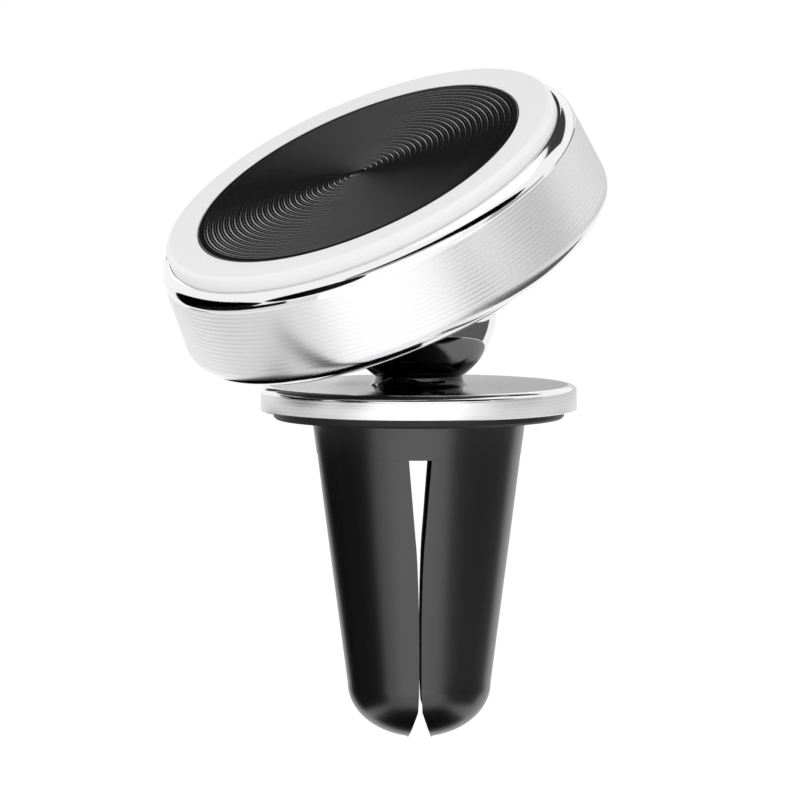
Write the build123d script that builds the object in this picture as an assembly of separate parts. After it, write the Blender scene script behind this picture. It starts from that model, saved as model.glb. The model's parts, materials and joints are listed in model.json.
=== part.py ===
"""Magnetic phone mount for a car's air vent: a forked vent clip, a ball stud and a round magnetic head.

Millimetres, +Z up. The origin is on the clip's axis at the underside of its plate, where the fork starts.
The head leans as it is stored: it is drawn upright over the ball and then turned about the ball's centre.
Heights of the head's pieces are measured from the ball's centre, along the head's own axis.
"""

from build123d import *
import math
import os

os.makedirs("parts", exist_ok=True)

# Clip: plate, turned flange and the hub that the fork hangs from
PLATE_R = 13.0
PLATE_T = 0.75
PLATE_EDGE = 0.2
COLLAR_SEAT = 0.2
HUB_R = 7.3
FLANGE_R = 14.15
FLANGE_TOP_R = 13.4
FLANGE_TOP = 2.98
FLANGE_SHOULDER = 2.45
STUD_BORE_R = 2.05
POCKET_R = 4.35
POCKET_TOP = -0.6

# Fork: a tapered round, slit crosswise into fingers
FORK_R = 9.55
FORK_TAPER = 0.132
FORK_CONE_END = -23.8
FORK_TIP = -28.63
SLOT_TOP = -3.12
SLOT_TOP_HALF = 1.015
SLOT_CLOSED = -19.5
SLOT_CLOSED_HALF = 0.1
SLOT_OPENS = -24.0
SLOT_FLARE = -25.9
SLOT_FLARE_HALF = 0.18
SLOT_TIP_HALF = 1.04
FINGER_COUNT = 4
FINGER_GAP = 0.2
FINGER_BORE_R = 2.2
FINGER_BORE_END = -20.0
SKIN_OUTER = 1.5
SKIN_SLOT = 0.5
CORE_END = -24.0

# Ball stud
BALL_R = 7.0
BALL_Z = 9.61
NECK_FOOT_R = 4.39
NECK_WAIST_R = 3.93
NECK_WAIST_Z = 3.83
NECK_CURVE = (4.01, 3.36)
THROAT_H = 1.75
SHANK_R = 2.0
WASHER_R = 4.1
WASHER_T = 0.3
NUT_FLATS = 7.0
NUT_T = 2.2

# Head: lean, and the outside profile of its shell
LEAN_DEG = 28.9
LEAN_TOWARDS_DEG = 218.1
HEAD_BOTTOM = 3.89
FLOOR_T = 1.5
WALL_FOOT_R = 20.25
WALL_FOOT_ROUND = 1.75
WALL_TOP_R = 19.8
WALL_TOP = 11.75
BAND_TOP_R = 19.75
SHOULDER = 13.2
SHOULDER_ROUND = 1.45
SHOULDER_SWEEP_DEG = 75.0
CAVITY_R = 18.65
FLOOR_HOLE_R = 6.6

# Ball socket inside the head
SOCKET_NOSE_R = 6.5
SOCKET_FLANGE_R = 8.5
SOCKET_TOP = 9.0
DISH_R = 7.42
RING_IN_R = 7.04
RING_OUT_R = 7.38
RING_TOP_DEG = 25.0
SOCKET_BORE_R = 4.05
SOCKET_MAGNET_R = 4.0
SOCKET_MAGNET_BOTTOM = 7.15

# Face of the head
FRAME_HUB_R = 10.2
FRAME_RIM_R = 16.8
RIB_COUNT = 6
RIB_W = 1.6
RIB_LAP = 0.5
YOKE_R = 17.5
YOKE_BOTTOM = 9.05
YOKE_T = 0.8
TRAY_TOP = 12.25
MAGNET_COUNT = 6
MAGNET_R = 3.5
MAGNET_T = 1.95
MAGNET_CIRCLE_R = 12.0
PAD_BOTTOM = 12.4
PAD_R = 18.6
PAD_ROUND = 0.65
FACE = 14.45
RECESS_R = 15.45
RECESS_FLOOR = 13.75
DISC_R = 15.36
DISC_T = 0.5
TAPE_T = 0.15
DISC_TAPE_R = 15.2
PAD_TAPE_R = 18.2
FIT = 0.05

YOKE_TOP = YOKE_BOTTOM + YOKE_T
FLOOR = HEAD_BOTTOM + FLOOR_T
FINGER_TOP = SLOT_TOP - FINGER_GAP


def fork_radius(z):
    """Outside radius of the tapered fork at height z."""
    return FORK_R + FORK_TAPER * z


def turned(*edges):
    """A solid of revolution about Z from its outline's edges, drawn as (radius, height)."""
    return revolve(Plane.XZ * make_face([*edges]), Axis.Z)


def ring(r_in, r_out, bottom, top):
    """A flat washer shape between two radii and two heights."""
    outside = Pos(0, 0, bottom) * extrude(Circle(r_out), top - bottom)
    if r_in == 0:
        return outside
    return outside - Pos(0, 0, bottom) * extrude(Circle(r_in), top - bottom)


def leaning(piece):
    """The piece, drawn about the ball's centre, moved up to the ball and leaned."""
    towards = math.radians(LEAN_TOWARDS_DEG)
    tilt_axis = Axis((0, 0, 0), (-math.sin(towards), math.cos(towards), 0))
    return Pos(0, 0, BALL_Z) * piece.rotate(tilt_axis, LEAN_DEG)


def save(piece, name):
    export_step(piece, f"parts/{name}.step")


# Clip
def clip_base():
    """The moulded plate with the hub below it, bored for the stud, with a round pocket for its nut.

    A shallow seat round the hub takes the top of the sleeve, so the plate's underside is flat outside it.
    """
    outline = Polyline(
        (STUD_BORE_R, PLATE_T), (PLATE_R, PLATE_T), (PLATE_R, PLATE_EDGE), (PLATE_R - PLATE_EDGE, 0),
        (FORK_R, 0), (FORK_R, COLLAR_SEAT), (HUB_R, COLLAR_SEAT), (HUB_R, SLOT_TOP),
        (POCKET_R, SLOT_TOP), (POCKET_R, POCKET_TOP), (STUD_BORE_R, POCKET_TOP), close=True,
    )
    return turned(outline)


def flange_disc():
    """The turned aluminium disc: a flat top, a rolled shoulder and a straight side."""
    shoulder = EllipticalCenterArc(
        (FLANGE_TOP_R, FLANGE_SHOULDER), FLANGE_R - FLANGE_TOP_R, FLANGE_TOP - FLANGE_SHOULDER,
        start_angle=0, arc_size=90,
    )
    sides = Polyline(
        (FLANGE_TOP_R, FLANGE_TOP), (STUD_BORE_R, FLANGE_TOP), (STUD_BORE_R, PLATE_T),
        (FLANGE_R, PLATE_T), (FLANGE_R, FLANGE_SHOULDER),
    )
    return turned(shoulder, sides)


def sleeve_collar():
    """The uncut top of the silicone sleeve, round the hub."""
    outline = Polyline(
        (HUB_R, COLLAR_SEAT), (FORK_R, COLLAR_SEAT), (FORK_R, 0), (fork_radius(SLOT_TOP), SLOT_TOP),
        (HUB_R, SLOT_TOP), close=True,
    )
    return turned(outline)


# Fork
def slot_cutter(extra):
    """The slit seen along Y: it narrows to a line and flares at the tip. extra widens it on each side."""
    fall = SLOT_TOP - SLOT_CLOSED
    narrowing = SLOT_TOP_HALF - SLOT_CLOSED_HALF
    half_way = SLOT_CLOSED_HALF + narrowing / 4
    below = FORK_TIP - 1
    sides = []
    for side in (1, -1):
        top = (side * (SLOT_TOP_HALF + extra), SLOT_TOP)
        closed = (side * (SLOT_CLOSED_HALF + extra), SLOT_CLOSED)
        middle = (side * (half_way + extra), SLOT_CLOSED + fall / 2)
        sides.append(ThreePointArc(top, middle, closed))
        sides.append(Polyline(
            closed, (closed[0], SLOT_OPENS), (side * (SLOT_FLARE_HALF + extra), SLOT_FLARE),
            (side * (SLOT_TIP_HALF + extra), FORK_TIP), (side * (SLOT_TIP_HALF + extra), below),
        ))
    sides.append(Line((-SLOT_TOP_HALF - extra, SLOT_TOP), (SLOT_TOP_HALF + extra, SLOT_TOP)))
    sides.append(Line((-SLOT_TIP_HALF - extra, below), (SLOT_TIP_HALF + extra, below)))
    return extrude(Plane.XZ * make_face(sides), FORK_R * 2, both=True)


def split_in_fingers(fork, extra):
    """The fork cut by both slits, as its fingers in order round the axis from the first quarter."""
    slit = slot_cutter(extra)
    parts = (fork - slit - Rot(0, 0, 90) * slit).solids()
    return sorted(parts, key=lambda s: math.atan2(s.center().Y, s.center().X) % math.tau)


def fork_round():
    """The fingers before they are split: a cone closed by an elliptical dome, bored out down to their grip."""
    end_r = fork_radius(FORK_CONE_END)
    dome = EllipticalCenterArc(
        (0, FORK_CONE_END), end_r, FORK_CONE_END - FORK_TIP, start_angle=270, arc_size=90
    )
    sides = Polyline(
        (end_r, FORK_CONE_END), (fork_radius(FINGER_TOP), FINGER_TOP), (0, FINGER_TOP), (0, FORK_TIP)
    )
    return turned(dome, sides) - ring(0, FINGER_BORE_R, FINGER_BORE_END, FINGER_TOP)


def core_round():
    """The stiff cores of the fingers before they are split, inside the silicone all round."""
    inner = FINGER_BORE_R + SKIN_SLOT
    outline = Polyline(
        (inner, FINGER_TOP), (fork_radius(FINGER_TOP) - SKIN_OUTER, FINGER_TOP),
        (fork_radius(CORE_END) - SKIN_OUTER, CORE_END), (inner, CORE_END), close=True,
    )
    return turned(outline)


# Ball stud
def ball_stud():
    """The polished ball on its flared neck, with the shank that goes down through the clip."""
    shank_end = POCKET_TOP - WASHER_T - NUT_T
    neck = turned(
        Polyline((NECK_WAIST_R, NECK_WAIST_Z), (0, NECK_WAIST_Z), (0, FLANGE_TOP), (NECK_FOOT_R, FLANGE_TOP)),
        ThreePointArc(
            (NECK_FOOT_R, FLANGE_TOP), NECK_CURVE, (NECK_WAIST_R, NECK_WAIST_Z)
        ),
    )
    throat = Pos(0, 0, NECK_WAIST_Z) * extrude(Circle(NECK_WAIST_R), THROAT_H)
    shank = ring(0, SHANK_R, shank_end, FLANGE_TOP)
    ball = Pos(0, 0, BALL_Z) * Sphere(BALL_R) - ring(0, BALL_R, 0, FLANGE_TOP)
    return ball + throat + neck + shank


def stud_washer():
    return ring(SHANK_R + FIT, WASHER_R, POCKET_TOP - WASHER_T, POCKET_TOP)


def stud_nut():
    """The thin hexagon nut on the shank, inside the hub's pocket."""
    top = POCKET_TOP - WASHER_T
    hexagon = RegularPolygon(NUT_FLATS / 2, 6, major_radius=False)
    return Pos(0, 0, top) * extrude(hexagon - Circle(SHANK_R), -NUT_T)


# Head: socket
def friction_ring():
    """The thin spherical ring between the ball and the socket."""
    low_in = math.degrees(math.asin((HEAD_BOTTOM + FIT) / RING_IN_R))
    low_out = math.degrees(math.asin((HEAD_BOTTOM + FIT) / RING_OUT_R))
    top = 90 - RING_TOP_DEG
    inner = CenterArc((0, 0), RING_IN_R, low_in, top - low_in)
    outer = CenterArc((0, 0), RING_OUT_R, low_out, top - low_out)
    return turned(inner, outer, Line(inner @ 0, outer @ 0), Line(inner @ 1, outer @ 1))


def socket_cup():
    """The plated steel cup: its nose fills the floor's hole and its dish holds the friction ring."""
    body = ring(0, SOCKET_NOSE_R, HEAD_BOTTOM + FIT, FLOOR) + ring(0, SOCKET_FLANGE_R, FLOOR, SOCKET_TOP)
    return body - Sphere(DISH_R) - ring(0, SOCKET_BORE_R, HEAD_BOTTOM, SOCKET_TOP)


def socket_magnet():
    return ring(0, SOCKET_MAGNET_R, SOCKET_MAGNET_BOTTOM, SOCKET_TOP)


# Head: shell and what it holds
def head_shell():
    """The turned aluminium cup, widest near its foot, with a rolled foot and a rolled, polished shoulder."""
    foot_c = (WALL_FOOT_R - WALL_FOOT_ROUND, HEAD_BOTTOM + WALL_FOOT_ROUND)
    shoulder_rise = SHOULDER_ROUND * math.sin(math.radians(SHOULDER_SWEEP_DEG))
    shoulder_c = (BAND_TOP_R - SHOULDER_ROUND, SHOULDER - shoulder_rise)
    foot = CenterArc(foot_c, WALL_FOOT_ROUND, -90, 90)
    shoulder = CenterArc(shoulder_c, SHOULDER_ROUND, 0, SHOULDER_SWEEP_DEG)
    wall = Polyline(foot @ 1, (WALL_TOP_R, WALL_TOP), shoulder @ 0)
    inside = Polyline(
        shoulder @ 1, (CAVITY_R, SHOULDER), (CAVITY_R, FLOOR), (FLOOR_HOLE_R, FLOOR),
        (FLOOR_HOLE_R, HEAD_BOTTOM), foot @ 0,
    )
    return turned(foot, wall, shoulder, inside)


def inner_frame():
    """The moulded spider that centres the socket and carries the yoke: a hub, a rim and ribs between."""
    hub_bore = SOCKET_FLANGE_R + FIT
    frame = ring(hub_bore, FRAME_HUB_R, FLOOR, SOCKET_TOP) + ring(FRAME_RIM_R, CAVITY_R - FIT, FLOOR, SOCKET_TOP)
    reach = FRAME_RIM_R - FRAME_HUB_R + 2 * RIB_LAP
    for i in range(RIB_COUNT):
        middle = (FRAME_RIM_R + FRAME_HUB_R) / 2
        rib = Pos(middle, 0, (FLOOR + SOCKET_TOP) / 2) * Box(reach, RIB_W, SOCKET_TOP - FLOOR)
        frame += Rot(0, 0, 360 / RIB_COUNT * i) * rib
    return frame


def yoke_plate():
    return ring(0, YOKE_R, YOKE_BOTTOM, YOKE_TOP)


def magnet_places():
    """Where the face magnets stand, on a circle."""
    return [Rot(0, 0, 360 / MAGNET_COUNT * i) * Pos(MAGNET_CIRCLE_R, 0, 0) for i in range(MAGNET_COUNT)]


def magnet_tray():
    """The moulded tray over the yoke, with a pocket for each face magnet."""
    tray = ring(0, CAVITY_R - FIT, YOKE_TOP, TRAY_TOP)
    for place in magnet_places():
        tray -= place * ring(0, MAGNET_R + FIT, YOKE_TOP, YOKE_TOP + MAGNET_T + FIT)
    return tray


def face_magnet(place):
    return place * ring(0, MAGNET_R, YOKE_TOP, YOKE_TOP + MAGNET_T)


def face_pad():
    """The silicone pad: a raised ring with a rounded rim, recessed in the middle for the disc."""
    round_c = (PAD_R - PAD_ROUND, FACE - PAD_ROUND)
    rim = CenterArc(round_c, PAD_ROUND, 0, 90)
    rest = Polyline(
        rim @ 1, (RECESS_R, FACE), (RECESS_R, RECESS_FLOOR), (0, RECESS_FLOOR), (0, PAD_BOTTOM),
        (PAD_R, PAD_BOTTOM), rim @ 0,
    )
    return turned(rim, rest)


still = {
    "clip_base": clip_base(),
    "flange_disc": flange_disc(),
    "sleeve_collar": sleeve_collar(),
    "ball_stud": ball_stud(),
    "stud_washer": stud_washer(),
    "stud_nut": stud_nut(),
}
for name, piece in still.items():
    save(piece, name)

cores = split_in_fingers(core_round(), SKIN_SLOT)
fingers = split_in_fingers(fork_round(), 0)
for number in range(FINGER_COUNT):
    save(cores[number], f"finger_core_{number + 1}")
    save(fingers[number] - cores[number], f"finger_sleeve_{number + 1}")

head = {
    "friction_ring": friction_ring(),
    "socket_cup": socket_cup(),
    "socket_magnet": socket_magnet(),
    "head_shell": head_shell(),
    "inner_frame": inner_frame(),
    "yoke_plate": yoke_plate(),
    "magnet_tray": magnet_tray(),
    "pad_tape": ring(0, PAD_TAPE_R, TRAY_TOP, PAD_BOTTOM),
    "face_pad": face_pad(),
    "disc_tape": ring(0, DISC_TAPE_R, RECESS_FLOOR, RECESS_FLOOR + TAPE_T),
    "face_disc": ring(0, DISC_R, RECESS_FLOOR + TAPE_T, RECESS_FLOOR + TAPE_T + DISC_T),
}
for number, place in enumerate(magnet_places(), 1):
    head[f"face_magnet_{number}"] = face_magnet(place)
for name, piece in head.items():
    save(leaning(piece), name)
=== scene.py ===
# %% [markdown]
# # A magnetic phone mount for a car's air vent
#
# The mount has three parts that a person handles: a black silicone fork that pushes between the vent's
# blades, a polished ball on a turned aluminium flange, and a round magnetic head that sits on the ball.
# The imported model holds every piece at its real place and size, so this script starts by loading it.
# Nearly every visible piece is turned on a lathe, so most of them are made the same way: draw half of the
# section, spin it once round, and let modifiers and shaders do the rest.

# %% Load the frame
import json
import math

import bpy
from mathutils import Matrix, Vector


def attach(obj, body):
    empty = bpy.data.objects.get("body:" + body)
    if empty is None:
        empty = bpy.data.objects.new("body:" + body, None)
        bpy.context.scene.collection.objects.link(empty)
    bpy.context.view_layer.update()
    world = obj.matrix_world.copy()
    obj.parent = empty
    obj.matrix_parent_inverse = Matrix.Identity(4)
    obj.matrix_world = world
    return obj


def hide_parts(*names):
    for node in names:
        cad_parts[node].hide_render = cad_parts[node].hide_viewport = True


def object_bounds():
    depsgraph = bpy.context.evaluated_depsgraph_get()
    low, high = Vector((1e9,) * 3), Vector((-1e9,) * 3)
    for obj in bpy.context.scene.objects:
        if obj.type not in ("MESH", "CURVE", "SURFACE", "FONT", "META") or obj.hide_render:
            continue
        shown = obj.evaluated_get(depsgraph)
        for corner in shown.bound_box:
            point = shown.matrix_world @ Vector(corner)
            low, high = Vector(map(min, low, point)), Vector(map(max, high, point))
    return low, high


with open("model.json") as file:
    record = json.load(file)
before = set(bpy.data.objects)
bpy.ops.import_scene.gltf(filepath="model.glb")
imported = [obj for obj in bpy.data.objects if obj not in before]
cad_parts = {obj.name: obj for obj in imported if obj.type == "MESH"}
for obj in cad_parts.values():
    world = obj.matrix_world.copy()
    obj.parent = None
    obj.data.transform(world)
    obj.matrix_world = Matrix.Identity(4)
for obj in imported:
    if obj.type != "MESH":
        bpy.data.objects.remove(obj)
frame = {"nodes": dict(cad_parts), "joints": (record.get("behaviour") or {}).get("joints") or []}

cad_low, cad_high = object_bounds()
joints = {joint["name"]: joint for joint in frame["joints"]}
MM = 0.001
print("object", [round(side / MM, 2) for side in cad_high - cad_low], "mm")

# %% [markdown]
# ## Where the head sits
#
# The head is stored leaning. It could be drawn in that lean, but it is easier to model it upright, with the
# ball's centre at the origin, and to lean the finished mesh. The joint that spins the head gives both its
# axis and the ball's centre, so one matrix takes an upright piece to its place.

# %% The head's place
head_axis = Vector(joints["head_spin"]["axis"])
ball_centre = Vector(joints["head_spin"]["pos_m"])
lean = Vector((0, 0, 1)).rotation_difference(head_axis)
HEAD_PLACE = Matrix.Translation(ball_centre) @ lean.to_matrix().to_4x4()
CLIP_PLACE = Matrix.Identity(4)
print("head leans", round(math.degrees(lean.angle), 1), "degrees")

# %% [markdown]
# ## Camera
#
# A small product is drawn with a long lens from well back, which keeps its ellipses even. The camera is
# nearly level with the ball, a few degrees above it, and turned by less than one degree. Its matrix is built
# from the three directions back, right and up, so that no rotation has to be guessed.

# %% Camera
VIEW_TURN = math.radians(-0.8)
VIEW_RISE = math.radians(4.25)
VIEW_ROLL = math.radians(-0.1)
VIEW_DISTANCE = 0.8
VIEW_WIDTH = 71.6 * MM
AIM_RIGHT = -1.68 * MM
AIM_UP = 1.6 * MM
SENSOR = 36.0

back = Vector((math.sin(VIEW_TURN) * math.cos(VIEW_RISE), -math.cos(VIEW_TURN) * math.cos(VIEW_RISE),
               math.sin(VIEW_RISE)))
right = Vector((math.cos(VIEW_TURN), math.sin(VIEW_TURN), 0))
up = back.cross(right)
aim = right * AIM_RIGHT + up * AIM_UP

camera_data = bpy.data.cameras.new("camera")
camera = bpy.data.objects.new("camera", camera_data)
bpy.context.scene.collection.objects.link(camera)
bpy.context.scene.camera = camera
camera_data.sensor_width = SENSOR
camera_data.lens = SENSOR * VIEW_DISTANCE / VIEW_WIDTH
camera_data.clip_start, camera_data.clip_end = 0.01, 20
facing = Matrix((right, up, back)).transposed().to_4x4()
camera.matrix_world = (Matrix.Translation(aim + back * VIEW_DISTANCE) @ facing
                       @ Matrix.Rotation(VIEW_ROLL, 4, "Z"))
bpy.context.scene.view_settings.view_transform = "Standard"
print("lens", round(camera_data.lens), "mm")

# %% [markdown]
# ## Floor and room
#
# The mount hangs over a plain pale floor in a white room. The room could be a box with lamps in its walls,
# but a white world gives the same even light for nothing. Two large, soft lamps add a direction to it.

# %% Floor and lamps
FLOOR_Z = cad_low.z - 30 * MM
FLOOR_SIDE = 12
FLOOR_SHADE = 0.95
ROOM_STRENGTH = 1.06


def lamp(name, size, place, look_at, power):
    """A soft rectangular lamp that faces a point, in metres and watts."""
    data = bpy.data.lights.new(name, "AREA")
    data.shape = "RECTANGLE"
    data.size, data.size_y = size
    data.energy = power
    source = bpy.data.objects.new(name, data)
    bpy.context.scene.collection.objects.link(source)
    source.location = place
    source.rotation_euler = (Vector(look_at) - Vector(place)).to_track_quat("-Z", "Y").to_euler()


bpy.ops.object.select_all(action="DESELECT")
bpy.ops.mesh.primitive_plane_add(size=FLOOR_SIDE, location=(0, 0, FLOOR_Z))
floor = bpy.context.object
floor.name = "floor"
pale = bpy.data.materials.new("floor_paint")
pale.use_nodes = True
pale_shader = pale.node_tree.nodes["Principled BSDF"]
pale_shader.inputs["Base Color"].default_value = (FLOOR_SHADE, FLOOR_SHADE, FLOOR_SHADE, 1)
pale_shader.inputs["Roughness"].default_value = 0.9
pale_shader.inputs["Specular IOR Level"].default_value = 0.0
floor.data.materials.append(pale)

world = bpy.data.worlds.new("studio")
bpy.context.scene.world = world
world.use_nodes = True
world.node_tree.nodes["Background"].inputs["Color"].default_value = (1, 1, 1, 1)
world.node_tree.nodes["Background"].inputs["Strength"].default_value = ROOM_STRENGTH
lamp("top_softbox", (0.5, 0.5), (0.1, -0.1, 0.6), (0, 0, 0), 0.3)
lamp("front_softbox", (1.4, 0.6), (-0.1, -0.8, 0.1), (0, 0, 0), 1.3)
print("floor at", round(FLOOR_Z / MM, 1), "mm")

# %% [markdown]
# ## What the metal mirrors
#
# Polished metal shows its surroundings, so the studio is part of the finish: a bright edge only looks
# polished when something dark lies next to it. A picture of a studio on the world could do this, but it would
# be infinitely far away. Panels at real distances give two pieces that stand side by side different
# reflections, as in a studio. They only show in reflections, and hide from the camera and the light.

# %% Reflected panels
BOARD_DISTANCE = 1.0
PAPER_LIFT = 1 * MM


def glow(name, strength):
    """A material that only shines, with one strength: 0 is a black board."""
    paint = bpy.data.materials.new(name)
    paint.use_nodes = True
    shader = paint.node_tree.nodes["Principled BSDF"]
    shader.inputs["Base Color"].default_value = (0, 0, 0, 1)
    shader.inputs["Specular IOR Level"].default_value = 0.0
    shader.inputs["Emission Color"].default_value = (1, 1, 1, 1)
    shader.inputs["Emission Strength"].default_value = strength
    return paint


def only_reflected(panel, name, strength):
    """Makes a panel one that reflections see, and neither the camera nor the light does."""
    panel.name = name
    panel.data.materials.append(glow(name, strength))
    panel.visible_camera = False
    panel.visible_diffuse = False
    panel.visible_shadow = False


def card(name, start, end, low, high, strength, oval=False):
    """An upright card near the object, between two points of the plan and two heights, in millimetres."""
    start, end = Vector((*start, 0)) * MM, Vector((*end, 0)) * MM
    side = end - start
    if oval:
        bpy.ops.mesh.primitive_circle_add(vertices=64, radius=0.5, fill_type="NGON")
    else:
        bpy.ops.mesh.primitive_plane_add(size=1)
    panel = bpy.context.object
    panel.scale = (side.length, (high - low) * MM, 1)
    panel.location = (start + end) / 2 + Vector((0, 0, (low + high) / 2 * MM))
    panel.rotation_euler = (math.pi / 2, 0, math.atan2(side.y, side.x))
    only_reflected(panel, name, strength)


def paper(name, corner, turn, size, strength):
    """A sheet just above the floor, from one corner and turned by degrees; its size is in millimetres."""
    bpy.ops.mesh.primitive_plane_add(size=1)
    panel = bpy.context.object
    turn = math.radians(turn)
    panel.scale = (size[0] * MM, size[1] * MM, 1)
    panel.rotation_euler.z = turn
    middle = Matrix.Rotation(turn, 3, "Z") @ Vector((size[0] / 2, size[1] / 2, 0))
    panel.location = (Vector((*corner, 0)) + middle) * MM + Vector((0, 0, FLOOR_Z + PAPER_LIFT))
    only_reflected(panel, name, strength)


def board(name, turns, rises, strength):
    """A far board that fills the view from the ball between two turns from the front, positive to the right,
    and two rises above the horizon, in degrees."""
    turn, rise = (math.radians(sum(pair) / 2) for pair in (turns, rises))
    wide = 2 * BOARD_DISTANCE * math.tan(math.radians(turns[1] - turns[0]) / 2) * math.cos(rise)
    high = 2 * BOARD_DISTANCE * math.tan(math.radians(rises[1] - rises[0]) / 2)
    towards = Vector((math.sin(turn) * math.cos(rise), -math.cos(turn) * math.cos(rise), math.sin(rise)))
    bpy.ops.mesh.primitive_plane_add(size=1)
    panel = bpy.context.object
    panel.scale = (wide, high, 1)
    panel.location = ball_centre + towards * BOARD_DISTANCE
    panel.rotation_euler = (-towards).to_track_quat("Z", "Y").to_euler()
    only_reflected(panel, name, strength)


# %% [markdown]
# ## Placing the panels
#
# Each panel is one streak or shade. To find where it goes, follow a line of sight to the metal and off it
# again. The head's side looks down at the floor, so papers shade it. The fork looks out level, so upright
# cards darken its flanks. The rolled shoulder looks all round, so oval cards there draw streaks with tapered
# ends. The disc looks up and back, at a dark board with one narrow light beside it.

# %% Panels
BLACK = 0.0
DARK = 0.12

# the streaks on the rolled shoulders, and the dark under the ball
card("black_front", (-100, -46), (-18, -60), 1, 34, BLACK, oval=True)
card("black_left_near", (-38, 12), (-46, -28), 0.5, 17, BLACK, oval=True)
card("black_neck", (-18, -20), (16, -20), 3.0, 5.6, BLACK)
# the flanks of the fork
card("black_left", (-110, 110), (-85, -66), -34, -8, BLACK)
card("black_fork_left", (-20, 20), (-22, -18), -42, -3, BLACK)
card("grey_right", (105, 80), (60, -86), -57, -8, DARK)
card("grey_right_low", (48, 22), (32, -34), -57, -40, DARK)
# the side of the head and the tips of the fork
paper("black_under", (-25, -25), 0, (50, 55), BLACK)
paper("grey_low_left", (-10, -22), 143, (250, 200), 0.85)
paper("white_low_front", (-42, -64), -127, (150, 220), 1.35)
# the disc and the inner edges of the shoulders
board("black_back_high", (176, 207), (12, 64), 0.035)
board("dark_back_right", (118, 176), (40, 64), 0.05)
board("fan_light", (-152, -144), (22, 33), 2.6)
board("black_front_high", (-36, 74), (18, 44), BLACK)
# the horizon
board("grey_back_right", (100, 180), (-4, 12), 0.7)
board("grey_side_right", (55, 100), (-3, 15), 0.5)
board("grey_side_left", (-120, -85), (-3, 12), 0.5)
panels = [thing.name for thing in bpy.data.objects if thing.type == "MESH" and not thing.visible_camera]
print(len(panels), "panels that only reflections see")

# %% [markdown]
# ## Materials as expressions
#
# Shader maths is easier to read as Python than as wires. `Wire` wraps one socket, and each operator on it
# adds the Math node that does that sum. `Finish` starts a material and adds any other node by its type.

# %% Sockets as numbers
class Wire:
    """A value in a shader's node tree that Python's operators work on."""

    def __init__(self, tree, socket):
        self.tree = tree
        self.socket = socket

    def math(self, operation, *values):
        node = self.tree.nodes.new("ShaderNodeMath")
        node.operation = operation
        for entry, value in zip(node.inputs, values):
            plug(self.tree, entry, value)
        return Wire(self.tree, node.outputs[0])

    def __add__(self, other):
        return self.math("ADD", self, other)

    def __sub__(self, other):
        return self.math("SUBTRACT", self, other)

    def __rsub__(self, other):
        return self.math("SUBTRACT", other, self)

    def __mul__(self, other):
        return self.math("MULTIPLY", self, other)

    def __gt__(self, other):
        return self.math("GREATER_THAN", self, other)

    __radd__ = __add__
    __rmul__ = __mul__

    def sine(self):
        return self.math("SINE", self)

    def root(self):
        return self.math("SQRT", self)

    def ramp(self, low, high):
        """0 below low, 1 above high, and smooth between."""
        node = self.tree.nodes.new("ShaderNodeMapRange")
        node.interpolation_type = "SMOOTHSTEP"
        for entry, value in (("Value", self), ("From Min", low), ("From Max", high)):
            plug(self.tree, node.inputs[entry], value)
        return Wire(self.tree, node.outputs["Result"])

    def band(self, low, high, soft):
        """1 between low and high, falling to 0 over soft on each side."""
        return self.ramp(low - soft, low) * (1 - self.ramp(high, high + soft))


def plug(tree, entry, value):
    """Links a Wire to a node's input, or sets the input to a number or colour."""
    if isinstance(value, Wire):
        tree.links.new(value.socket, entry)
    else:
        entry.default_value = value


# %% [markdown]
# ## A finish
#
# A real finish changes from zone to zone of a turned piece: a bright shoulder, a satin side. Some zones here
# also carry painted shade or a painted reflection, such as the painted dark underside. Each zone could
# have a material of its own, with a hard edge between two of them. Here one material covers the piece, and
# the height and the radius of a point say which zone it is in. Both are read from Object coordinates, turned
# back upright, so a finish follows its piece and never slides.

# %% Finishes
MIX_COLOURS = (6, 7)
MIX_RESULT = 2


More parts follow.
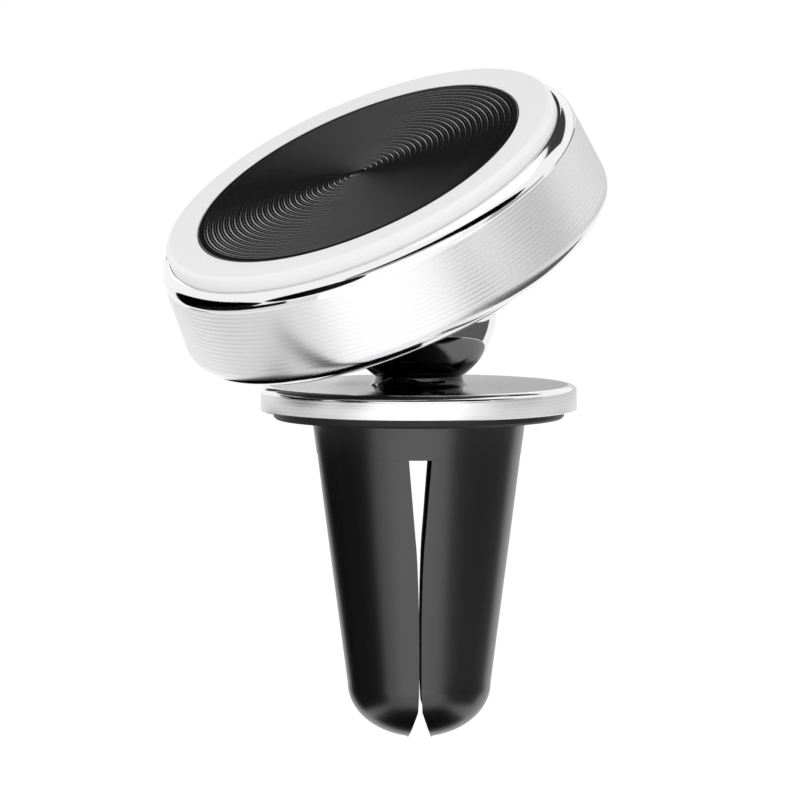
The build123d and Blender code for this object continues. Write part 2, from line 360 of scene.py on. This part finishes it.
class Finish:
    """One material: its shader, and the coordinates of the place that its piece was drawn at."""

    def __init__(self, name, place=CLIP_PLACE, **values):
        self.material = bpy.data.materials.new(name)
        self.material.use_nodes = True
        self.tree = self.material.node_tree
        self.shader = self.tree.nodes["Principled BSDF"]
        self.place = place
        self.set(**values)

    def set(self, **values):
        """Sets or links the shader's inputs: base_color means Base Color."""
        names = {entry.name.lower().replace(" ", "_"): entry for entry in self.shader.inputs}
        for name, value in values.items():
            entry = names[name]
            if isinstance(value, tuple) and len(value) == 3 and entry.type == "RGBA":
                value = (*value, 1)
            plug(self.tree, entry, value)

    def node(self, kind, settings=None, output=0, **values):
        """Any other node: its settings first, then its inputs, whose names have _ for each space."""
        node = self.tree.nodes.new("ShaderNode" + kind)
        for name, value in (settings or {}).items():
            setattr(node, name, value)
        for name, value in values.items():
            plug(self.tree, node.inputs[name.replace("_", " ")], value)
        return Wire(self.tree, node.outputs[output])

    def point(self):
        """The point on the piece, in millimetres, as if the piece were still upright on its own axis."""
        spot = self.node("TexCoord", output="Object")
        upright = self.node("Mapping", {"vector_type": "TEXTURE"}, Vector=spot,
                            Location=self.place.to_translation(), Rotation=self.place.to_euler())
        return self.node("VectorMath", {"operation": "SCALE"}, Vector=upright, Scale=1 / MM)

    def height_and_radius(self):
        """The height of that point and its distance from the axis."""
        split = self.tree.nodes.new("ShaderNodeSeparateXYZ")
        plug(self.tree, split.inputs[0], self.point())
        x, y, z = (Wire(self.tree, socket) for socket in split.outputs)
        return z, (x * x + y * y).root()

    def noise(self, per_mm, detail=3.0):
        return self.node("TexNoise", Vector=self.point(), Scale=per_mm, Detail=detail)

    def stripes(self, along, per_mm):
        """Noise along one value only: the lines that a tool or a brush leaves."""
        line = self.node("CombineXYZ", X=along)
        return self.node("TexNoise", Vector=line, Scale=per_mm, Detail=4.0)

    def mix(self, share, first, second):
        """A colour between two, by share."""
        node = self.tree.nodes.new("ShaderNodeMix")
        node.data_type = "RGBA"
        plug(self.tree, node.inputs["Factor"], share)
        for socket, value in zip(MIX_COLOURS, (first, second)):
            plug(self.tree, node.inputs[socket], value if isinstance(value, Wire) else (*value, 1))
        return Wire(self.tree, node.outputs[MIX_RESULT])

    def bump(self, height, distance_mm, strength):
        """Bump from a height of 0 to 1 that stands for distance_mm."""
        self.set(normal=self.node("Bump", Height=height, Distance=distance_mm * MM, Strength=strength))


# %% [markdown]
# ## Turning a piece
#
# A lathe needs only half of a section. `turned` starts from a plane merged to one point, extrudes that
# point along the outline, and spins the line once round the axis. Points on the axis close by themselves
# when the doubles are merged. Arcs in an outline come from one formula, so that every curve is smooth.
# A cylinder with bevels would be quicker, but its rounds would never follow an ellipse or a groove.

# %% The lathe
STEPS = 288
MERGE_WITHIN = 2e-6
DISSOLVE_WITHIN = 1e-7


def arc(centre, radius, start, end, count):
    """Points along an arc; angles in degrees, 0 points away from the axis and 90 up."""
    wide, high = radius if isinstance(radius, tuple) else (radius, radius)
    turns = [math.radians(start + (end - start) * i / count) for i in range(count + 1)]
    return [(centre[0] + wide * math.cos(t), centre[1] + high * math.sin(t)) for t in turns]


def draw(outline):
    """Extrudes one point along an outline of (radius, height) in millimetres, in edit mode."""
    bpy.ops.mesh.primitive_plane_add(size=MM)
    bpy.ops.object.mode_set(mode="EDIT")
    bpy.ops.mesh.select_all(action="SELECT")
    bpy.ops.mesh.merge(type="CENTER")
    radius, height = outline[0]
    bpy.ops.transform.translate(value=(radius * MM, 0, height * MM))
    for next_radius, next_height in outline[1:]:
        step = ((next_radius - radius) * MM, 0, (next_height - height) * MM)
        bpy.ops.mesh.extrude_region_move(TRANSFORM_OT_translate={"value": step})
        radius, height = next_radius, next_height


def turned(name, outline, place=CLIP_PLACE, angle=math.tau, steps=STEPS, sharp=35):
    """A piece turned from its outline, smooth-shaded and put in its place. Only a full turn closes it."""
    draw(outline + [outline[0]])
    bpy.ops.mesh.select_all(action="SELECT")
    bpy.ops.mesh.spin(steps=steps, angle=angle, center=(0, 0, 0), axis=(0, 0, -1))
    bpy.ops.mesh.select_all(action="SELECT")
    bpy.ops.mesh.remove_doubles(threshold=MERGE_WITHIN)
    bpy.ops.mesh.dissolve_degenerate(threshold=DISSOLVE_WITHIN)
    bpy.ops.mesh.normals_make_consistent(inside=False)
    bpy.ops.object.mode_set(mode="OBJECT")
    piece = bpy.context.object
    piece.name = name
    bpy.ops.object.shade_smooth_by_angle(angle=math.radians(sharp))
    piece.matrix_world = place
    bpy.ops.object.transform_apply(location=True, rotation=True, scale=True)
    piece.select_set(False)
    print(name, len(piece.data.vertices), "points")
    return piece


def finish_piece(piece, finish, body, node):
    """Gives a piece its material and its body, and hides the node that it stands in for."""
    piece.data.materials.clear()
    piece.data.materials.append(finish.material)
    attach(piece, body)
    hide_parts(node)


# %% [markdown]
# ## The ball
#
# The ball and its neck are one turned steel piece, polished to a mirror. Its shank goes down through the
# flange. A sphere joined to a cylinder would leave a sharp ring between them, so the section is one line: an
# arc that starts at the top of the ball and runs into the short waisted neck, which flares again where it
# meets the flange. The neck's colour is painted darker than the ball's: a painted reflection of the dark
# surround that the polished neck mirrors.

# %% Ball stud
BALL_R = 7.0
BALL_Z = ball_centre.z / MM
FLANGE_TOP = 2.98
NECK_WAIST_R = 3.93
NECK_FLARE = [(NECK_WAIST_R, 4.1), (3.94, 3.83), (3.97, 3.58), (4.02, 3.36), (4.12, 3.17),
              (4.39, FLANGE_TOP)]
NECK_DARK_TO = 5.0
PAINTED_DARK_FADES_BY = 5.6
SHANK_R = 2.0
SHANK_END = -3.1
STEEL = (0.8, 0.8, 0.81)
NECK_PAINTED_REFLECTION = (0.05, 0.05, 0.052)

neck_meets_ball = math.degrees(math.acos(NECK_WAIST_R / BALL_R))
ball_outline = arc((0, BALL_Z), BALL_R, 90, -neck_meets_ball, 72) + NECK_FLARE
ball_outline += [(SHANK_R, FLANGE_TOP), (SHANK_R, SHANK_END), (0, SHANK_END)]

polished = Finish("polished_steel", metallic=1.0, roughness=0.035)
height, radius = polished.height_and_radius()
# the neck's colour is painted dark below NECK_DARK_TO: a painted reflection of the dark surround
polished.set(base_color=polished.mix(height.ramp(NECK_DARK_TO, PAINTED_DARK_FADES_BY), NECK_PAINTED_REFLECTION, STEEL))
finish_piece(turned("ball_and_neck", ball_outline), polished, "ball", "ball_stud")

# %% [markdown]
# ## The flange
#
# A disc turned from aluminium: a spun flat top, a rolled shoulder left bright, and a straight side with the
# fine lines of the tool. A bevel would give the shoulder a round section, but it is flatter than that, so it
# is a quarter of an ellipse. The top's colour is painted dark: a painted reflection of the dark head above
# it, which the top mirrors. It is so smooth that it still shines when seen along it.

# %% Flange
FLANGE_R = 14.15
FLANGE_FLAT_R = 13.4
FLANGE_BOTTOM = 0.75
FLANGE_SHOULDER = 2.45
FLANGE_EDGE = 0.08
STUD_BORE_R = 2.05
ALUMINIUM = (0.83, 0.83, 0.84)
TOP_PAINTED_REFLECTION = (0.15, 0.15, 0.152)

shoulder_size = (FLANGE_R - FLANGE_FLAT_R, FLANGE_TOP - FLANGE_SHOULDER)
flange_outline = arc((FLANGE_FLAT_R, FLANGE_SHOULDER), shoulder_size, 90, 0, 12)
flange_outline += [(FLANGE_R, FLANGE_BOTTOM + FLANGE_EDGE), (FLANGE_R - FLANGE_EDGE, FLANGE_BOTTOM),
                   (STUD_BORE_R, FLANGE_BOTTOM), (STUD_BORE_R, FLANGE_TOP)]

spun = Finish("flange_metal", metallic=1.0, anisotropic=0.8)
height, radius = spun.height_and_radius()
near_shoulder = height.band(FLANGE_SHOULDER - 0.05, FLANGE_TOP + 0.22, 0.06)
on_shoulder = near_shoulder * (radius > FLANGE_FLAT_R - 0.05)
on_top = (height > FLANGE_TOP - 0.01) * (1 - on_shoulder)
tool_lines = spun.stripes(radius, 3.0) * on_top + spun.stripes(height, 5.0) * (1 - on_top)
plain = 1 - on_shoulder
# the top's colour is painted dark: a painted reflection of the dark head above it
spun.set(base_color=spun.mix(on_top, ALUMINIUM, TOP_PAINTED_REFLECTION),
         roughness=0.10 + 0.16 * plain - 0.13 * on_top + 0.06 * (tool_lines - 0.5) * plain)
spun.bump(tool_lines * plain, 0.01, 0.5)
finish_piece(turned("turned_flange", flange_outline), spun, "clip", "flange_disc")

# %% [markdown]
# ## The moulded plate
#
# Under the flange lies a thin black plate, moulded with the hub that the fork hangs from. The two could be a
# disc and a tube, but they are one moulding, so one outline goes round both. A fine noise in the bump gives
# the dull grain that a mould leaves.

# %% Plate and hub
PLATE_R = 13.0
PLATE_EDGE = 0.2
COLLAR_SEAT = 0.2
HUB_R = 7.3
FORK_R = 9.55
SLOT_TOP = -3.12
POCKET_R = 4.35
POCKET_TOP = -0.6

plate_outline = [(STUD_BORE_R, FLANGE_BOTTOM), (PLATE_R, FLANGE_BOTTOM), (PLATE_R, PLATE_EDGE),
                 (PLATE_R - PLATE_EDGE, 0), (FORK_R, 0), (FORK_R, COLLAR_SEAT), (HUB_R, COLLAR_SEAT),
                 (HUB_R, SLOT_TOP), (POCKET_R, SLOT_TOP), (POCKET_R, POCKET_TOP), (STUD_BORE_R, POCKET_TOP)]

moulded = Finish("moulded_black", base_color=(0.012, 0.012, 0.013), roughness=0.45, specular_ior_level=0.35)
moulded.bump(moulded.noise(6.0, 2.0), 0.01, 0.4)
finish_piece(turned("moulded_plate", plate_outline), moulded, "clip", "clip_base")

# %% [markdown]
# ## The fork's shape
#
# The fork is a tapered round of black silicone, slit crosswise into four fingers. The slit starts 2 mm wide,
# closes to a line along its middle and flares at the tip, so a blade of any thickness can find its way in.
# Two functions say how wide the fork and the slit are at a height. The fork is a cone that ends in a dome,
# and the slit runs straight between a few heights.

# %% Fork sizes
FORK_TAPER = 0.132
CONE_END = -23.8
TIP = -28.63
BORE_R = 2.2
BORE_END = -20.0
SLIT = [(SLOT_TOP, 1.015), (-5, 0.86), (-7, 0.69), (-9, 0.53), (-11.31, 0.33), (-13, 0.24), (-15, 0.17),
        (-17, 0.12), (-19.5, 0.1), (-24.0, 0.1), (-25.9, 0.18), (TIP, 1.04)]


def fork_radius(height):
    """Outside radius of the fork at a height."""
    if height >= CONE_END:
        return FORK_R + FORK_TAPER * height
    dome_radius = FORK_R + FORK_TAPER * CONE_END
    down = (CONE_END - height) / (CONE_END - TIP)
    return dome_radius * math.sqrt(max(0, 1 - down * down))


def half_slit(height):
    """Half the slit's width at a height."""
    for (upper, wide), (lower, narrow) in zip(SLIT, SLIT[1:]):
        if height >= lower:
            share = (upper - min(height, upper)) / (upper - lower)
            return wide + (narrow - wide) * share
    return SLIT[-1][1]


print("fork", round(2 * fork_radius(SLOT_TOP), 1), "mm across at its slots,", round(-TIP, 1), "mm long")

# %% [markdown]
# ## A finger
#
# A boolean could cut the slits, but it would leave long thin triangles in the silicone. So a finger starts as
# a quarter of a turned ring. Its points are then pushed round, height by height, until its two open sides
# stand parallel to the slits, and a bevel rounds its sharp closed edges, such as those at its root. The open
# sides have no faces yet, and the dark inside of the shell is seen there. Filling each open loop of edges
# before the bevel would close them, and would let the bevel soften the slit's edges too.

# %% One finger
CONE_STEPS = 30
DOME_STEPS = 24
QUARTER_STEPS = 36
CORE_R = 0.15
BORE_CLEAR = 0.3
TIP_FLAT = 0.6
TIP_SINK = 0.01
GAP_MARGIN = 1.02
SOFT_EDGE = 0.16
FINGERS = 4


def finger_outline():
    """Half of the fork's section, from the slot's top down the outside and back up the bore."""
    heights = [SLOT_TOP - (SLOT_TOP - CONE_END) * i / CONE_STEPS for i in range(CONE_STEPS + 1)]
    turns = [math.pi / 2 * i / DOME_STEPS for i in range(1, DOME_STEPS)]
    dome = [CONE_END - (CONE_END - TIP) * math.sin(turn) for turn in turns]
    outside = [(fork_radius(height), height) for height in heights + dome]
    end_r, end = outside[-1]
    inside = [(CORE_R, CONE_END), (CORE_R, BORE_END), (BORE_R, BORE_END)]
    inside += [(BORE_R, height) for height in reversed(heights) if height > BORE_END + BORE_CLEAR]
    return outside + [(end_r * TIP_FLAT, end - TIP_SINK), (CORE_R, end - 2 * TIP_SINK)] + inside


def part_for_slit(piece):
    """Pushes a quarter's points round the axis, so that half a slit is left beside each open side."""
    for vertex in piece.data.vertices:
        co = vertex.co
        gap = half_slit(co.z / MM) * MM
        distance = max(math.hypot(co.x, co.y), gap * math.sqrt(2) * GAP_MARGIN)
        share = math.atan2(co.y, co.x) / (math.pi / 2)
        start = math.asin(gap / distance)
        around = start + share * (math.pi / 2 - 2 * start)
        co.x, co.y = distance * math.cos(around), distance * math.sin(around)


def finger(number):
    """A quarter of the fork, in its place. Its two sides along the slits are parallel to them, and open."""
    piece = turned(f"finger_{number}", finger_outline(), angle=math.pi / 2, steps=QUARTER_STEPS, sharp=40)
    part_for_slit(piece)
    bpy.context.view_layer.objects.active = piece
    piece.select_set(True)
    piece.rotation_euler.z = math.pi / 2 * (number - 1)
    bpy.ops.object.transform_apply(location=True, rotation=True, scale=True)
    bevel = piece.modifiers.new("soft edges", "BEVEL")
    bevel.width = SOFT_EDGE * MM
    bevel.segments = 3
    bevel.limit_method = "ANGLE"
    bevel.angle_limit = math.radians(50)
    bpy.ops.object.modifier_apply(modifier=bevel.name)
    bpy.ops.object.shade_smooth_by_angle(angle=math.radians(40))
    piece.select_set(False)
    return piece


# %% [markdown]
# ## The silicone
#
# Soft black silicone has hardly any colour of its own, so what is seen of it is its sheen: a very dark base
# with a strong, half-sharp reflection. All four fingers are made by the same function, each with its own mesh
# and its own body.

# %% Fingers
silicone = Finish("silicone_black", base_color=(0.003, 0.003, 0.0032), roughness=0.3, specular_ior_level=1.0)
silicone.bump(silicone.noise(3.0), 0.01, 0.3)
for number in range(1, FINGERS + 1):
    finish_piece(finger(number), silicone, f"finger_{number}", f"finger_sleeve_{number}")

# %% [markdown]
# ## The collar
#
# Above the slots the sleeve isn't cut. This ring could be drawn with the fingers, but they move and it
# doesn't, so it is a piece of its own, with the fork's radius at both of its ends.

# %% Collar
collar_outline = [(HUB_R, COLLAR_SEAT), (FORK_R, COLLAR_SEAT), (FORK_R, 0),
                  (fork_radius(SLOT_TOP), SLOT_TOP), (HUB_R, SLOT_TOP)]
finish_piece(turned("fork_collar", collar_outline), silicone, "clip", "sleeve_collar")

# %% [markdown]
# ## The head's shell
#
# The shell is a turned aluminium cup with a rolled foot, a finely lined side and a polished, rounded shoulder
# that the pad sits in. The lines could be bump alone, but then they would vanish at the outline, so each is a
# shallow cut in the section. The head is drawn upright round the ball's centre, and its heights are measured
# from there.

# %% Shell
HEAD_BOTTOM = 3.89
CUP_FLOOR = 5.39
WALL_FOOT_R = 20.25
FOOT_ROUND = 1.75
WALL_TOP_R = 19.8
WALL_TOP = 11.75
BAND_TOP_R = 19.75
SHOULDER = 13.2
SHOULDER_ROUND = 1.45
SHOULDER_SWEEP = 75
CAVITY_R = 18.65
FLOOR_HOLE_R = 6.6
LINE_PITCH = 0.42
LINE_DEPTH = 0.0045
LINE_HALF = 0.06

wall_low = HEAD_BOTTOM + FOOT_ROUND
shell_outline = [(FLOOR_HOLE_R, HEAD_BOTTOM)]
shell_outline += arc((WALL_FOOT_R - FOOT_ROUND, wall_low), FOOT_ROUND, -90, 0, 16)
line_count = round((WALL_TOP - wall_low) / LINE_PITCH)
for i in range(1, line_count):
    line_z = wall_low + (WALL_TOP - wall_low) * i / line_count
    line_r = WALL_FOOT_R + (WALL_TOP_R - WALL_FOOT_R) * i / line_count
    shell_outline += [(line_r, line_z - LINE_HALF), (line_r - LINE_DEPTH, line_z),
                      (line_r, line_z + LINE_HALF)]
shell_outline += [(WALL_TOP_R, WALL_TOP)]
shoulder_z = SHOULDER - SHOULDER_ROUND * math.sin(math.radians(SHOULDER_SWEEP))
shell_outline += arc((BAND_TOP_R - SHOULDER_ROUND, shoulder_z), SHOULDER_ROUND, 0, SHOULDER_SWEEP, 16)
shell_outline += [(CAVITY_R, SHOULDER), (CAVITY_R, CUP_FLOOR), (FLOOR_HOLE_R, CUP_FLOOR)]
print(line_count - 1, "lines round the head's side")

# %% [markdown]
# ## The shell's finish
#
# The side is satin, with lines that are lighter and darker by turns. The shoulder and the foot are polished.
# The underside is painted dull black, a painted shade, so that the ball mirrors a dark patch and not a bright
# plate.

# %% Shell finish
UNDERSIDE_R = 17.6
LIGHT_LINE = (0.86, 0.86, 0.87)
DARK_LINE = (0.8, 0.8, 0.81)
UNDERSIDE_PAINTED_SHADE = (0.012, 0.012, 0.013)

head_metal = Finish("head_metal", HEAD_PLACE)
height, radius = head_metal.height_and_radius()
on_band = height.ramp(WALL_TOP - 0.1, WALL_TOP)
on_foot = 1 - height.ramp(wall_low - 0.9, wall_low - 0.2)
satin = (1 - on_band) * (1 - on_foot)
# the underside's colour is painted dull black: a painted shade, so that the ball mirrors a dark patch there
underside = 1 - height.ramp(HEAD_BOTTOM + 0.02, HEAD_BOTTOM + 0.1)
underside *= 1 - radius.ramp(UNDERSIDE_R, UNDERSIDE_R + 0.3)
side_lines = head_metal.stripes(height, 6.0)
tool_marks = 0.5 + 0.5 * (height * (math.tau / LINE_PITCH)).sine() * satin
lined = head_metal.mix(tool_marks, DARK_LINE, LIGHT_LINE)
head_metal.set(base_color=head_metal.mix(underside, lined, UNDERSIDE_PAINTED_SHADE), metallic=1 - underside,
               roughness=0.08 + 0.27 * satin + 0.08 * (side_lines - 0.5) * satin + 0.4 * underside)
head_metal.bump(side_lines * satin, 0.004, 0.4)
shell = turned("head_shell_turned", shell_outline, HEAD_PLACE)
finish_piece(shell, head_metal, "head", "head_shell")

# %% [markdown]
# ## The pad
#
# A ring of pale silicone with a rounded rim, which keeps the phone from slipping. It is moulded in one with
# the thin web under the disc, so the outline goes right in to the axis. The rim is an arc in the outline
# instead of a bevel, because then its points stand evenly and the sheen on it stays smooth.

# %% Pad
PAD_BOTTOM = 12.4
PAD_R = 18.6
PAD_ROUND = 0.65
FACE = 14.45
RECESS_R = 15.45
RECESS_FLOOR = 13.75
RECESS_EDGE = 0.08

pad_outline = [(0, PAD_BOTTOM), (PAD_R, PAD_BOTTOM)]
pad_outline += arc((PAD_R - PAD_ROUND, FACE - PAD_ROUND), PAD_ROUND, 0, 90, 12)
pad_outline += [(RECESS_R + RECESS_EDGE, FACE), (RECESS_R, FACE - RECESS_EDGE), (RECESS_R, RECESS_FLOOR),
                (0, RECESS_FLOOR)]

white_silicone = Finish("silicone_white", HEAD_PLACE, base_color=(0.75, 0.75, 0.75), roughness=0.4,
                        specular_ior_level=0.4)
white_silicone.bump(white_silicone.noise(4.0, 2.0), 0.006, 0.3)
pad = turned("pad_ring", pad_outline, HEAD_PLACE)
finish_piece(pad, white_silicone, "head", "face_pad")

# %% [markdown]
# ## The disc
#
# The black disc is spun: a tool has left a fine spiral in it, which shows as rings. An anisotropic shader
# could fake them, but the rings are real grooves here, because the way a groove throws light sideways is what
# draws the bright fans on such a disc. Every second groove is shallower, which makes the rings stand out.

# %% Disc
DISC_R = 15.36
DISC_TOP = 14.4
DISC_T = 0.5
DISC_EDGE = 0.08
GROOVE_PITCH = 0.2655
GROOVE_DEPTHS = (0.042, 0.028)
GROOVE_START = 0.6
GROOVE_END = DISC_R - 0.3
GROOVE_POINTS = 4

disc_outline = [(0, DISC_TOP)]
grooves = int((GROOVE_END - GROOVE_START) / GROOVE_PITCH)
for i in range(grooves):
    for j in range(GROOVE_POINTS):
        share = j / GROOVE_POINTS
        drop = GROOVE_DEPTHS[i % 2] * (1 - math.cos(math.tau * share)) / 2
        disc_outline.append((GROOVE_START + GROOVE_PITCH * (i + share), DISC_TOP - drop))
disc_outline += [(DISC_R - DISC_EDGE, DISC_TOP), (DISC_R, DISC_TOP - DISC_EDGE),
                 (DISC_R, DISC_TOP - DISC_T), (0, DISC_TOP - DISC_T)]
print(grooves, "grooves")

disc_black = Finish("spun_black", HEAD_PLACE, base_color=(0.07, 0.07, 0.072), metallic=1.0, roughness=0.2)
height, radius = disc_black.height_and_radius()
disc_black.bump(disc_black.stripes(radius, 6.0), 0.02, 0.6)
disc = turned("spun_disc", disc_outline, HEAD_PLACE)
finish_piece(disc, disc_black, "head", "face_disc")

# %% [markdown]
# ## The hidden pieces
#
# The washer, the nut, the socket, the magnets, the tapes and the fingers' cores are inside, so their packed
# shapes are good enough to keep. Each still gets a finish of its own, for a reader who takes the mount
# apart: plated steel, nickel, clear tape or plastic, with a little unevenness in its sheen.

# %% Hidden pieces
def uneven(name, place, colour, roughness, metallic=0.0):
    """A plain finish with a slight unevenness."""
    finish = Finish(name, place, base_color=colour, roughness=roughness, metallic=metallic)
    finish.bump(finish.noise(5.0), 0.01, 0.3)
    return finish


plated = uneven("plated_steel", CLIP_PLACE, (0.55, 0.55, 0.56), 0.3, metallic=1.0)
cup_metal = uneven("plated_cup", HEAD_PLACE, (0.5, 0.5, 0.5), 0.25, metallic=1.0)
magnet_metal = uneven("magnet_nickel", HEAD_PLACE, (0.6, 0.58, 0.55), 0.22, metallic=1.0)
tape_clear = uneven("clear_tape", HEAD_PLACE, (0.75, 0.75, 0.72), 0.6)
nylon = uneven("ring_nylon", HEAD_PLACE, (0.03, 0.03, 0.03), 0.5)
core_plastic = uneven("core_nylon", CLIP_PLACE, (0.03, 0.03, 0.03), 0.5)

FACE_MAGNETS = 6
hidden = {
    "stud_washer": plated, "stud_nut": plated, "socket_cup": cup_metal, "socket_magnet": magnet_metal,
    "friction_ring": nylon, "inner_frame": moulded, "yoke_plate": plated, "magnet_tray": moulded,
    "pad_tape": tape_clear, "disc_tape": tape_clear,
}
hidden |= {f"face_magnet_{i}": magnet_metal for i in range(1, FACE_MAGNETS + 1)}
hidden |= {f"finger_core_{i}": core_plastic for i in range(1, FINGERS + 1)}
for name, look in hidden.items():
    node = frame["nodes"][name]
    node.data.materials.clear()
    node.data.materials.append(look.material)
print(len(hidden), "packed pieces finished")
